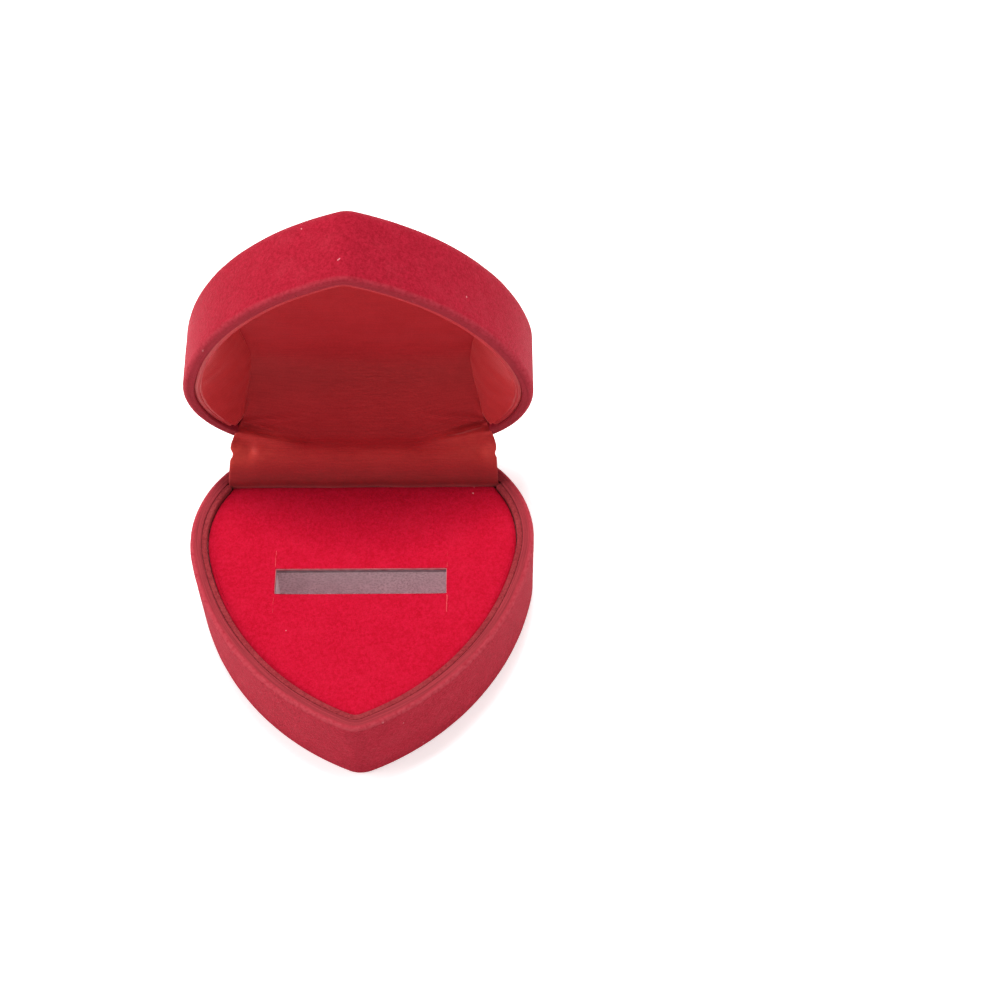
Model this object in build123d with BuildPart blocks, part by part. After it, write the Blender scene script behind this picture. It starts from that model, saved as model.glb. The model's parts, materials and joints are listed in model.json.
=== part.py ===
"""Heart-shaped ring box: a flocked base and lid on a steel spring hinge, satin lined.

Millimetres, +Z up.  The origin is the centre of the base's underside, the heart's tip
points to -Y and the hinge is at the back, +Y.  The lid is modelled where it rests: open.
"""
import os
from math import atan2, cos, degrees, radians, sin, sqrt, tan

from build123d import *

# ---- driving dimensions ----------------------------------------------------------------
# Outer heart, seen from above
half_width = 24.0
depth = 45.8
shoulder_radius = 15.7
side_radius = 36.9
tip_radius = 4.35

# Moulded shells
base_height = 14.0
lid_height = 11.4
wall = 1.6
base_floor = 1.5
lid_top = 1.6
foot_radius = 0.9
crown_radius = 2.4
rim_radius = 0.4
seam_gap = 0.05

# Raised heart on the lid, inside its beaded border
pillow_half_width = 18.2
pillow_back = 18.8
pillow_tip = -15.9
pillow_shoulder_radius = 10.8
pillow_side_radius = 26.5
pillow_tip_radius = 2.6
pillow_cleft = 0.7
pillow_rise = 1.9
pillow_round = 1.6
pillow_hollow = 0.8
border_width = 2.1
border_rise = 0.7
border_gap = 0.15
border_round = 0.5

# Ring insert and the liner round it
liner_gap = 0.08
liner_thickness = 0.7
liner_drop = 0.1
insert_drop = 0.8
insert_clearance = 0.1
flock_thickness = 0.4
card_thickness = 0.8
insert_back = 7.1
slot_length = 23.6
slot_width = 4.2
slot_y = 0.4
slot_in_foam = 7.0

# Spring hinge
open_angle = 84.0
hinge_inset = 0.75
barrel_radius = 0.75
pin_radius = 0.35
base_bore = 0.37
lid_bore = 0.40
knuckles = 5
knuckle_length = 4.24
knuckle_gap = 0.2
leaf_thickness = 0.5
leaf_inset = 2.05
leaf_reach = 9.0
leaf_start = 0.25
notch_clearance = 0.3
stop_clearance = 1.0
rail_width = 1.2
rail_lip = 0.6
rail_start = 1.2
spring_width = 8.0
spring_thickness = 0.25

# Satin
satin_thickness = 0.3
ribbon_thickness = 0.4
ribbon_half_width = 18.8
ribbon_lid_half_width = 16.4
ribbon_tuck = 7.0
ceiling_back_inset = 5.6
ceiling_back_depth = 1.75
ceiling_knee_inset = 14.0
ceiling_knee_depth = 7.5
ceiling_front_depth = 8.5
side_panel_thickness = 0.4
side_panel_rim = (21.5, 0.3)
side_panel_deep = (15.6, 8.4)
lining_back_inset = 6.6

# ---- worked out from those -------------------------------------------------------------
back = depth / 2
tip = -depth / 2
insert_top = base_height - insert_drop
foam_top = insert_top - flock_thickness - card_thickness
hinge_y = back - hinge_inset
leaf_half = (knuckles * knuckle_length + (knuckles - 1) * knuckle_gap) / 2
leaf_front = back - leaf_inset - leaf_thickness
insert_inset = wall + liner_gap + liner_thickness + insert_clearance
notch_half = leaf_half + notch_clearance
notch_height = barrel_radius + notch_clearance
bevel_angle = open_angle / 2 + stop_clearance
big = 60.0

# The lid's own axes in its open pose: it has swung back about the hinge line
lid_back_dir = Vector(0, cos(radians(open_angle)), -sin(radians(open_angle)))
lid_up_dir = Vector(0, sin(radians(open_angle)), cos(radians(open_angle)))
lid_centre = Vector(0, hinge_y, base_height) - lid_back_dir * hinge_y
lid_seam = Plane(origin=lid_centre, x_dir=(1, 0, 0), z_dir=lid_up_dir)
lid_section = Plane(origin=lid_centre, x_dir=lid_back_dir, z_dir=(1, 0, 0))
lid_front_view = Plane(origin=lid_centre, x_dir=(1, 0, 0), z_dir=-lid_back_dir)
lid_axis = Axis(lid_centre, lid_up_dir)
base_seam = Plane.XY.offset(base_height)
base_section = Plane(origin=(0, 0, base_height), x_dir=(0, 1, 0), z_dir=(1, 0, 0))


def heart_outline(width, back_y, tip_y, shoulder, side, point, cleft=0.0, inset=0.0):
    """A heart of tangent arcs, moved inwards by inset, as a flat sketch."""
    flat = width - shoulder
    shoulder_at = (flat, back_y - shoulder)
    point_at = (0, tip_y + point)
    # The side arc holds both smaller arcs, touching each from inside
    gap_x = point_at[0] - shoulder_at[0]
    gap_y = point_at[1] - shoulder_at[1]
    gap = sqrt(gap_x**2 + gap_y**2)
    to_shoulder = side - shoulder
    to_point = side - point
    along = (to_shoulder**2 - to_point**2 + gap**2) / (2 * gap)
    across = sqrt(to_shoulder**2 - along**2)
    side_at = (
        shoulder_at[0] + (gap_x * along + gap_y * across) / gap,
        shoulder_at[1] + (gap_y * along - gap_x * across) / gap,
    )
    shoulder_end = degrees(atan2(shoulder_at[1] - side_at[1], shoulder_at[0] - side_at[0]))
    side_end = degrees(atan2(point_at[1] - side_at[1], point_at[0] - side_at[0]))
    with BuildSketch() as outline:
        with BuildLine():
            CenterArc(point_at, point - inset, -90, side_end + 90)
            CenterArc(side_at, side - inset, side_end, shoulder_end - side_end)
            CenterArc(shoulder_at, shoulder - inset, shoulder_end, 90 - shoulder_end)
            if cleft:
                # An arc down from the lobe and an equal one up into the cleft
                turn = 2 * degrees(atan2(cleft, flat))
                bend = flat / (2 * sin(radians(turn)))
                CenterArc((flat, back_y - bend), bend - inset, 90, turn)
                CenterArc((0, back_y - cleft + bend), bend + inset, -90, turn)
            else:
                Line((0, back_y - inset), (flat, back_y - inset))
            mirror(about=Plane.YZ)
        make_face()
    return outline.sketch


def heart(inset=0.0):
    """The box's own heart, moved inwards by inset."""
    return heart_outline(
        half_width, back, tip, shoulder_radius, side_radius, tip_radius, inset=inset
    )


def pillow(inset=0.0):
    """The raised heart on the lid, moved inwards by inset."""
    return heart_outline(
        pillow_half_width,
        pillow_back,
        pillow_tip,
        pillow_shoulder_radius,
        pillow_side_radius,
        pillow_tip_radius,
        cleft=pillow_cleft,
        inset=inset,
    )


def trim_behind(inset):
    """Cut the current sketch off along a straight chord, inset from the back."""
    with Locations((0, back - inset + big / 2)):
        Rectangle(big, big, mode=Mode.SUBTRACT)


def hinge_notch(section, side):
    """The room cut in a rim for the hinge; side is -1 below the seam and 1 above it."""
    run = 2 * hinge_inset
    fall = run * tan(radians(bevel_angle))
    with BuildPart() as notch:
        with BuildSketch(section):
            with Locations((back - leaf_inset, 0)):
                Rectangle(big, 2 * notch_height, align=(Align.MIN, Align.CENTER))
        extrude(amount=notch_half, both=True)
        # Behind the hinge line the rims are bevelled, and the two bevels meet as the stop
        with BuildSketch(section):
            with BuildLine():
                Polyline(
                    (hinge_y, 0),
                    (hinge_y + run, side * fall),
                    (hinge_y + run, -side * fall),
                    (hinge_y, -side * fall),
                    close=True,
                )
            make_face()
        extrude(amount=half_width, both=True)
    return notch.part


def leaf_rails(seam, side):
    """A pair of hooked rails inside the back wall, which hold a hinge leaf's two edges."""
    rail_inner = leaf_half + insert_clearance
    rail_outer = rail_inner + rail_width
    lip_inner = leaf_half - rail_lip
    lip_back = leaf_front - insert_clearance
    lip_front = lip_back - rail_lip
    with BuildPart() as rails:
        with BuildSketch(seam.offset(side * rail_start)):
            with BuildLine():
                Polyline(
                    (rail_inner, back - wall / 2),
                    (rail_inner, lip_back),
                    (lip_inner, lip_back),
                    (lip_inner, lip_front),
                    (rail_outer, lip_front),
                    (rail_outer, back - wall / 2),
                    close=True,
                )
            make_face()
            mirror(about=Plane.YZ)
        extrude(amount=side * (leaf_reach - rail_start))
    return rails.part


def hinge_leaf(section, side, own_knuckles, bore):
    """A flat leaf with its rolled knuckles, standing side * up from the seam."""
    leaf_length = leaf_reach - leaf_start
    web_length = hinge_y - barrel_radius * 2 / 3 - leaf_front
    with BuildPart() as leaf:
        with BuildSketch(section.offset(-leaf_half)):
            with Locations((leaf_front, side * (leaf_start + leaf_length / 2))):
                Rectangle(leaf_thickness, leaf_length, align=(Align.MIN, Align.CENTER))
        extrude(amount=2 * leaf_half)
        for place in own_knuckles:
            start = -leaf_half + place * (knuckle_length + knuckle_gap)
            with BuildSketch(section.offset(start)):
                with Locations((hinge_y, 0)):
                    Circle(barrel_radius)
                    Circle(bore, mode=Mode.SUBTRACT)
                with Locations((leaf_front, side * (leaf_start + leaf_thickness / 2))):
                    Rectangle(web_length, leaf_thickness, align=(Align.MIN, Align.CENTER))
            extrude(amount=knuckle_length)
    return leaf.part


def ceiling_layer(below, thickness):
    """One layer of the lid's ceiling: level over the ring, sloping down to the hinge."""
    back_at = (back - ceiling_back_inset, ceiling_back_depth + below)
    knee_at = (back - ceiling_knee_inset, ceiling_knee_depth + below)
    front_at = (tip, ceiling_front_depth + below)
    # Its straight edges run down the side panels, which lean in from rim to ceiling
    lean = (side_panel_rim[0] - side_panel_deep[0]) / (side_panel_deep[1] - side_panel_rim[1])
    edge_at_rim = side_panel_rim[0] + lean * side_panel_rim[1] - insert_clearance
    edge_at_top = edge_at_rim - lean * lid_height
    with BuildPart() as layer:
        with BuildSketch(lid_section):
            with BuildLine():
                Polyline(
                    back_at,
                    knee_at,
                    front_at,
                    (front_at[0], front_at[1] + thickness),
                    (knee_at[0], knee_at[1] + thickness),
                    (back_at[0], back_at[1] + thickness),
                    close=True,
                )
            make_face()
        extrude(amount=half_width, both=True)
        with BuildSketch(lid_seam):
            add(heart(insert_inset))
        extrude(amount=lid_height, mode=Mode.INTERSECT)
        with BuildSketch(lid_front_view):
            with BuildLine():
                Polyline(
                    (-edge_at_rim, 0),
                    (edge_at_rim, 0),
                    (edge_at_top, lid_height),
                    (-edge_at_top, lid_height),
                    close=True,
                )
            make_face()
        extrude(amount=big, both=True, mode=Mode.INTERSECT)
    return layer.part


# ---- base ------------------------------------------------------------------------------
with BuildPart() as base_shell:
    with BuildSketch():
        add(heart())
    extrude(amount=base_height)
    fillet(base_shell.edges().group_by(Axis.Z)[0], radius=foot_radius)
    fillet(base_shell.edges().group_by(Axis.Z)[-1], radius=rim_radius)
    with BuildSketch(Plane.XY.offset(base_floor)):
        add(heart(wall))
    extrude(amount=base_height, mode=Mode.SUBTRACT)
    add(leaf_rails(base_seam, -1))
    add(hinge_notch(base_section, -1), mode=Mode.SUBTRACT)

with BuildPart() as base_liner:
    with BuildSketch(Plane.XY.offset(base_floor)):
        add(heart(wall + liner_gap))
        add(heart(wall + liner_gap + liner_thickness), mode=Mode.SUBTRACT)
        trim_behind(insert_back)
    extrude(amount=base_height - liner_drop - base_floor)

with BuildPart() as ring_foam:
    with BuildSketch(Plane.XY.offset(base_floor)):
        add(heart(insert_inset))
        trim_behind(insert_back)
    extrude(amount=foam_top - base_floor)
    with BuildSketch(Plane.XY.offset(foam_top)):
        with Locations((0, slot_y)):
            Rectangle(slot_length, slot_width)
    extrude(amount=-slot_in_foam, mode=Mode.SUBTRACT)

with BuildPart() as insert_card:
    with BuildSketch(Plane.XY.offset(foam_top)):
        add(heart(insert_inset))
        trim_behind(insert_back)
        with Locations((0, slot_y)):
            Rectangle(slot_length, slot_width, mode=Mode.SUBTRACT)
    extrude(amount=card_thickness)

with BuildPart() as insert_flock:
    with BuildSketch(Plane.XY.offset(insert_top - flock_thickness)):
        add(heart(insert_inset))
        trim_behind(insert_back)
        with Locations((0, slot_y)):
            Rectangle(slot_length, slot_width, mode=Mode.SUBTRACT)
    extrude(amount=flock_thickness)

# ---- lid -------------------------------------------------------------------------------
with BuildPart() as lid_shell:
    with BuildSketch(lid_seam.offset(seam_gap)):
        add(heart())
    extrude(amount=lid_height - seam_gap)
    fillet(lid_shell.edges().group_by(lid_axis)[-1], radius=crown_radius)
    fillet(lid_shell.edges().group_by(lid_axis)[0], radius=rim_radius)
    # Raised border, rounded along its top
    with BuildSketch(lid_seam.offset(lid_height - lid_top / 2)):
        add(pillow(inset=-border_width))
        add(pillow(inset=-border_gap), mode=Mode.SUBTRACT)
    extrude(amount=lid_top / 2 + border_rise)
    fillet(lid_shell.edges().group_by(lid_axis)[-1], radius=border_round)
    # Padded-looking heart inside it, well rounded round its top
    with BuildSketch(lid_seam.offset(lid_height - lid_top / 2)):
        add(pillow())
    extrude(amount=lid_top / 2 + pillow_rise)
    fillet(lid_shell.edges().group_by(lid_axis)[-1], radius=pillow_round)
    with BuildSketch(lid_seam):
        add(heart(wall))
    extrude(amount=lid_height - lid_top, mode=Mode.SUBTRACT)
    with BuildSketch(lid_seam):
        add(pillow(inset=wall))
    extrude(amount=lid_height - lid_top + pillow_hollow, mode=Mode.SUBTRACT)
    add(leaf_rails(lid_seam, 1))
    add(hinge_notch(lid_section, 1), mode=Mode.SUBTRACT)

with BuildPart() as lid_wall_lining:
    with BuildSketch(lid_seam.offset(liner_drop)):
        add(heart(wall + liner_gap))
        add(heart(wall + liner_gap + liner_thickness), mode=Mode.SUBTRACT)
        trim_behind(lining_back_inset)
    extrude(amount=lid_height - lid_top - liner_drop)

with BuildPart() as lid_ceiling_satin:
    add(ceiling_layer(0.0, satin_thickness))

with BuildPart() as lid_ceiling_card:
    add(ceiling_layer(satin_thickness, card_thickness))

# ---- hinge -----------------------------------------------------------------------------
with BuildPart() as hinge_leaf_base:
    add(hinge_leaf(base_section, -1, range(0, knuckles, 2), base_bore))

with BuildPart() as hinge_leaf_lid:
    add(hinge_leaf(lid_section, 1, range(1, knuckles, 2), lid_bore))

with BuildPart() as hinge_pin:
    with BuildSketch(base_section.offset(-leaf_half)):
        with Locations((hinge_y, 0)):
            Circle(pin_radius)
    extrude(amount=2 * leaf_half)

# Measured from the hinge line: back, up
spring_path = [(-1.95, -7.0), (-1.95, -3.2), (-3.9, -0.9), (-2.7, 1.35), (-1.1, 2.15), (2.2, 2.6)]
with BuildPart() as snap_spring:
    with BuildSketch(base_section.offset(-spring_width / 2)):
        with BuildLine() as spring_line:
            FilletPolyline(*[(hinge_y + y, z) for y, z in spring_path], radius=0.6)
        trace(spring_line.line, line_width=spring_thickness)
    extrude(amount=spring_width)

# The ribbon comes up behind the insert, over the spring and into the lid
tuck_y = back - insert_back + ribbon_thickness / 2 + 0.05
ribbon_path = [
    (tuck_y, -ribbon_tuck),
    (tuck_y, 0.5),
    (hinge_y - 2.6, 3.0),
    (hinge_y + 0.7, 4.65),
]
with BuildPart() as hinge_ribbon:
    with BuildSketch(base_section.offset(-ribbon_half_width)):
        with BuildLine() as ribbon_line:
            FilletPolyline(*ribbon_path, radius=0.8)
        trace(ribbon_line.line, line_width=ribbon_thickness)
    extrude(amount=2 * ribbon_half_width)
    # Folded in where it enters the lid
    with BuildSketch():
        with BuildLine():
            Polyline(
                (0, 0),
                (ribbon_half_width, 0),
                (ribbon_half_width, hinge_y - 1.5),
                (ribbon_lid_half_width, hinge_y - 0.9),
                (ribbon_lid_half_width, back + big),
                (0, back + big),
                close=True,
            )
        make_face()
        mirror(about=Plane.YZ)
    extrude(amount=big, mode=Mode.INTERSECT)

pieces = {
    "base_shell": base_shell,
    "base_liner": base_liner,
    "ring_foam": ring_foam,
    "insert_card": insert_card,
    "insert_flock": insert_flock,
    "lid_shell": lid_shell,
    "lid_wall_lining": lid_wall_lining,
    "lid_ceiling_card": lid_ceiling_card,
    "lid_ceiling_satin": lid_ceiling_satin,
    "hinge_leaf_base": hinge_leaf_base,
    "hinge_leaf_lid": hinge_leaf_lid,
    "hinge_pin": hinge_pin,
    "snap_spring": snap_spring,
    "hinge_ribbon": hinge_ribbon,
}

# Satin side panels: flat plates that slope in from the rim, cut to lens shapes by the walls
for name, hand in (("lid_side_panel_left", -1), ("lid_side_panel_right", 1)):
    with BuildPart() as side_panel:
        with BuildSketch(lid_front_view):
            with BuildLine():
                Polyline(
                    (hand * side_panel_rim[0], side_panel_rim[1]),
                    (hand * side_panel_deep[0], side_panel_deep[1]),
                    (hand * (side_panel_deep[0] + side_panel_thickness), side_panel_deep[1]),
                    (hand * (side_panel_rim[0] + side_panel_thickness), side_panel_rim[1]),
                    close=True,
                )
            make_face()
        extrude(amount=big, both=True)
        with BuildSketch(lid_seam):
            add(heart(insert_inset))
            trim_behind(lining_back_inset)
        extrude(amount=lid_height, mode=Mode.INTERSECT)
    pieces[name] = side_panel

os.makedirs("parts", exist_ok=True)
for name, piece in pieces.items():
    piece.part.label = name
    export_step(piece.part, f"parts/{name}.step")
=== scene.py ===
"""Looks of the heart-shaped ring box: flocked shells, satin lining, velvet insert."""
import json
from math import atan2, cos, exp, pi, radians, sin, sqrt

import bmesh
import bpy
import numpy as np
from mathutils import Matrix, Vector, noise


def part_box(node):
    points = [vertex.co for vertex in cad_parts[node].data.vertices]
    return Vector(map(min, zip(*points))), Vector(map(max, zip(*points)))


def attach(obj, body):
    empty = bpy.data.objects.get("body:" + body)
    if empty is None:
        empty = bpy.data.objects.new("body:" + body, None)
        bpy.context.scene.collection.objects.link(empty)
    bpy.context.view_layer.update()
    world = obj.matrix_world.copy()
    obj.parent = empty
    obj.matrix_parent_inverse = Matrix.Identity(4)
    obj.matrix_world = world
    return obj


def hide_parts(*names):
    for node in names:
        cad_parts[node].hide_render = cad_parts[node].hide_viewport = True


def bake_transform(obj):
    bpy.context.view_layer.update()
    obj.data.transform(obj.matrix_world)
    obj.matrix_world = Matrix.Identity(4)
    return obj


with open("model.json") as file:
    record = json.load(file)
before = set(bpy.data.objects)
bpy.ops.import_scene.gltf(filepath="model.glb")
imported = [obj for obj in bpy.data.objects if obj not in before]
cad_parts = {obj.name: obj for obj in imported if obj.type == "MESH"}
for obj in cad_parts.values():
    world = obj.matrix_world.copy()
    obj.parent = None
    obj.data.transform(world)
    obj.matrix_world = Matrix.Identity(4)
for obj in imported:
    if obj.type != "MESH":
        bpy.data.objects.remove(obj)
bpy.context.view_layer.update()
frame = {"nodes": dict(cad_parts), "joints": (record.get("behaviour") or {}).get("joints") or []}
# One seed for the noise, so that every run gives the same surfaces
noise.seed_set(1)

# ---- the frame, in millimetres ----
MM = 0.001
base_low, base_high = (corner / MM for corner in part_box("base_shell"))
half_width = base_high.x
back = base_high.y
tip = base_low.y
seam = base_high.z
lid_hinge = frame["joints"][0]
hinge_y = lid_hinge["pos_m"][1] / MM
open_angle = radians(lid_hinge["range_deg"][1])

# ---- shape of the box, as the CAD parts have it, in millimetres ----
# The heart's outline, with the turn below the shoulder's centre where its arc meets the side's
shoulder_radius = 15.7
side_radius = 36.9
tip_radius = 4.35
shoulder_join = radians(11.6)
# Both shells
wall = 1.6
base_floor = 1.5
lid_height = 11.4
lid_top = 1.6
foot_radius = 0.9
crown_radius = 2.4
rim_radius = 0.6
lip_radius = 0.16
seam_gap = 0.05
draft = 0.16
# The board liners, as insets from the outer wall, and how far from the back each one ends
liner_outer = 1.62
liner_inner = 2.38
lining_back = 6.6
# The insert and its ring slot, with the nap that stands into the slot
insert_inset = 2.48
insert_back = 7.1
insert_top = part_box("insert_flock")[1].z / MM
flock_thickness = 0.4
slot_half_length = 11.8
slot_half_width = 2.1
slot_y = 0.4
nap = 0.13
# The padded heart on the lid and the beaded border round it
pillow_rise = 2.15
border_width = 2.1
border_rise = 0.72
# The room cut for the hinge
bevel = open_angle / 2 + radians(1.0)
notch_half = 11.3
notch_height = 1.05
notch_depth = 2.05
# Cloth
satin_thickness = 0.14


# ---- outlines ----
def heart_arcs(width, back_y, tip_y, shoulder, side, point, cleft=0.0):
    """The right half of a heart from its tip to the middle of its back, as tangent arcs.

    Each is (centre x, centre y, radius, first angle, last angle, bulge), where bulge is -1 for
    the one hollow arc, in the cleft."""
    flat = width - shoulder
    top = np.array([flat, back_y - shoulder])
    low = np.array([0.0, tip_y + point])
    gap = low - top
    length = np.hypot(*gap)
    to_top, to_low = side - shoulder, side - point
    along = (to_top**2 - to_low**2 + length**2) / (2 * length)
    across = sqrt(to_top**2 - along**2)
    middle = top + (gap * along + np.array([gap[1], -gap[0]]) * across) / length
    upper = atan2(*(top - middle)[::-1])
    lower = atan2(*(low - middle)[::-1])
    arcs = [
        (low[0], low[1], point, -pi / 2, lower, 1),
        (middle[0], middle[1], side, lower, upper, 1),
        (top[0], top[1], shoulder, upper, pi / 2, 1),
    ]
    if cleft:
        turn = 2 * atan2(cleft, flat)
        bend = flat / (2 * sin(turn))
        arcs.append((flat, back_y - bend, bend, pi / 2, pi / 2 + turn, 1))
        arcs.append((0.0, back_y - cleft + bend, bend, -pi / 2 + turn, -pi / 2, -1))
    else:
        arcs.append((flat, back_y, 0.0, 0.0, 0.0, 0))
    return arcs


def outline(arcs, inset=0.0, fine=1.0):
    """The closed loop of a heart moved inwards by inset, anticlockwise from its tip."""
    steps = (10, 46, 46, 10, 10) if len(arcs) == 5 else (10, 46, 46, 20)
    counts = [int(n * fine) for n in steps]
    half = []
    for (x, y, radius, first, last, bulge), count in zip(arcs, counts):
        for t in np.arange(count) / count:
            angle = first + (last - first) * t
            if bulge:
                reach = radius - bulge * inset
                half.append((x + reach * cos(angle), y + reach * sin(angle)))
            else:
                half.append((x * (1 - t), y - inset))
    half = np.array(half)
    x, y, radius, first, last, bulge = arcs[-1]
    crown = (0.0, y - inset) if not bulge else (x, y + (radius + inset) * sin(last))
    mirrored = half[1:][::-1] * (-1, 1)
    return np.vstack([half, [crown], mirrored])


box_arcs = heart_arcs(half_width, back, tip, shoulder_radius, side_radius, tip_radius)
pillow_arcs = heart_arcs(
    width=18.2, back_y=18.8, tip_y=-15.9, shoulder=10.8, side=26.5, point=2.6, cleft=0.7
)


def box_loop(inset=0.0, fine=1.0):
    return outline(box_arcs, inset, fine)


def wall_x(y, inset):
    """Half the width inside the box at y, inset from the outer wall."""
    flat = half_width - shoulder_radius
    top_y = back - shoulder_radius
    widest = shoulder_radius - inset
    if y >= top_y - widest * sin(shoulder_join):
        return flat + sqrt(max(widest**2 - (y - top_y) ** 2, 0.0))
    x, centre_y, radius = box_arcs[1][:3]
    low_y, point = box_arcs[0][1], box_arcs[0][2] - inset
    side = x + sqrt(max((radius - inset) ** 2 - (y - centre_y) ** 2, 0.0))
    join = low_y + point * sin(box_arcs[0][4])
    if y >= join:
        return side
    return sqrt(max(point**2 - (y - low_y) ** 2, 0.0))


def resampled(points, count, closed=True):
    """A line's points, evenly spaced along it."""
    points = np.asarray(points, float)
    ring = np.vstack([points, points[:1]]) if closed else points
    steps = np.linalg.norm(np.diff(ring, axis=0), axis=1)
    reached = np.concatenate([[0], np.cumsum(steps)])
    wanted = np.linspace(0, reached[-1], count, endpoint=not closed)
    return np.column_stack([np.interp(wanted, reached, ring[:, k]) for k in range(ring.shape[1])])


def eased(before, corner, after, radius, count):
    """The bend that rounds a corner, as count points."""
    into, out = before - corner, after - corner
    reach = min(radius, 0.45 * np.linalg.norm(into), 0.45 * np.linalg.norm(out))
    start = corner + into / np.linalg.norm(into) * reach
    end = corner + out / np.linalg.norm(out) * reach
    steps = np.linspace(0, 1, count)
    return [(1 - t) ** 2 * start + 2 * t * (1 - t) * corner + t**2 * end for t in steps]


def rounded_path(corners, radii, step):
    """A line through corners, each eased by its radius, sampled every step."""
    corners = [np.asarray(c, float) for c in corners]
    line = [corners[0]]
    for before, corner, after, radius in zip(corners, corners[1:], corners[2:], radii):
        line += eased(before, corner, after, radius, 9)
    line.append(corners[-1])
    length = sum(np.linalg.norm(b - a) for a, b in zip(line, line[1:]))
    return resampled(line, int(length / step) + 1, closed=False)


# ---- places ----
def in_base(points):
    """Millimetres in the row frame, as metres."""
    return np.asarray(points, float) * MM


def in_lid(points):
    """Points of the lid given as it sits closed, with z measured up from the seam."""
    points = np.asarray(points, float)
    y = points[:, 1] - hinge_y
    z = points[:, 2]
    c, s = cos(open_angle), sin(open_angle)
    return np.column_stack([points[:, 0], hinge_y + y * c + z * s, seam - y * s + z * c]) * MM


def turned_y(y, z, angle=open_angle):
    """Where a point of the open lid lies along Y once it has turned by angle: shut by default."""
    return hinge_y + (y - hinge_y) * cos(angle) - (z - seam) * sin(angle)


def roughened(points, amount, size, seed):
    """Points moved a little each way by smooth noise, as soft pile is uneven."""
    shift = Vector((seed * 7.3, seed * 3.1, seed * 5.7))
    moved = []
    for point in points:
        spot = Vector(point)
        moved.append(spot + noise.noise_vector(spot / size + shift) * amount)
    return np.array(moved)


# ---- meshes ----
def placed(name, data):
    """A new object in the scene."""
    thing = bpy.data.objects.new(name, data)
    bpy.context.scene.collection.objects.link(thing)
    return thing


def new_piece(name, points, faces, material, uv=None, sharp=38):
    mesh = bpy.data.meshes.new(name)
    mesh.from_pydata([tuple(p) for p in points], [], faces)
    mesh.validate()
    mesh.update()
    if uv is not None:
        layer = mesh.uv_layers.new(name="cloth")
        corners = np.zeros(len(mesh.loops), int)
        mesh.loops.foreach_get("vertex_index", corners)
        layer.data.foreach_set("uv", np.asarray(uv, np.float32)[corners].ravel())
    mesh.materials.append(material)
    mesh.shade_smooth()
    mesh.set_sharp_from_angle(angle=radians(sharp))
    return placed(name, mesh)


def store(piece, attribute, values):
    """Keep one value at each point of a piece's mesh."""
    layer = piece.data.attributes.new(attribute, "FLOAT", "POINT")
    layer.data.foreach_set("value", np.asarray(values, float))


def skin_faces(rings, count, closed_ring=True, closed_around=False):
    """Quads between rings of count points each."""
    faces = []
    last = count if closed_ring else count - 1
    for r in range(rings if closed_around else rings - 1):
        a, b = r * count, ((r + 1) % rings) * count
        for k in range(last):
            n = (k + 1) % count
            faces.append((a + k, a + n, b + n, b + k))
    return faces


def skin(name, loops, place, material):
    """A closed skin over loops, each end gathered to the middle of its last loop."""
    count = len(loops[0])
    points = np.vstack(loops)
    faces = skin_faces(len(loops), count)
    first, last = len(points), len(points) + 1
    points = np.vstack([points, loops[0].mean(0), loops[-1].mean(0)])
    end = (len(loops) - 1) * count
    for k in range(count):
        n = (k + 1) % count
        faces.append((n, k, first))
        faces.append((end + k, end + n, last))
    return new_piece(name, place(points), faces, material)


def at_height(loop, z):
    return np.column_stack([loop, np.full(len(loop), z)])


def shrunk(loop, share, centre):
    return centre + (loop - centre) * share


def quarter(centre, radius, first, last, count):
    """Points round an arc, angles in degrees, as (inset, height)."""
    return [
        (centre[0] + radius * cos(radians(a)), centre[1] + radius * sin(radians(a)))
        for a in np.linspace(first, last, count)
    ]


def straight(start, end, step):
    """Points along a line after its start, about step apart."""
    count = max(1, round(sqrt((end[0] - start[0]) ** 2 + (end[1] - start[1]) ** 2) / step))
    return [
        (start[0] + (end[0] - start[0]) * k / count, start[1] + (end[1] - start[1]) * k / count)
        for k in range(1, count + 1)
    ]


def cut_away(piece, name, points, faces):
    """Take the closed cutter's room out of a piece."""
    mesh = bpy.data.meshes.new(name)
    mesh.from_pydata([tuple(p) for p in points], [], faces)
    cutter = placed(name, mesh)
    step = piece.modifiers.new("cut", "BOOLEAN")
    step.operation = "DIFFERENCE"
    step.solver = "EXACT"
    step.object = cutter
    settle(piece)
    bpy.data.objects.remove(cutter)


def settle(piece):
    """Make a piece's modifiers part of its mesh."""
    bpy.context.view_layer.update()
    shown = piece.evaluated_get(bpy.context.evaluated_depsgraph_get())
    mesh = bpy.data.meshes.new_from_object(shown)
    piece.modifiers.clear()
    piece.data = mesh


def face_outwards(piece):
    """Turn the faces of a closed piece to look out of it."""
    shape = bmesh.new()
    shape.from_mesh(piece.data)
    bmesh.ops.recalc_face_normals(shape, faces=shape.faces)
    shape.to_mesh(piece.data)
    shape.free()


def prism(section, reach, place):
    """A closed bar along X with the given (y, z) section."""
    count = len(section)
    left = [(-reach, y, z) for y, z in section]
    right = [(reach, y, z) for y, z in section]
    faces = [tuple(range(count)), tuple(range(2 * count - 1, count - 1, -1))]
    for k in range(count):
        n = (k + 1) % count
        faces.append((k, count + k, count + n, n))
    return place(np.array(left + right)), faces


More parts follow.
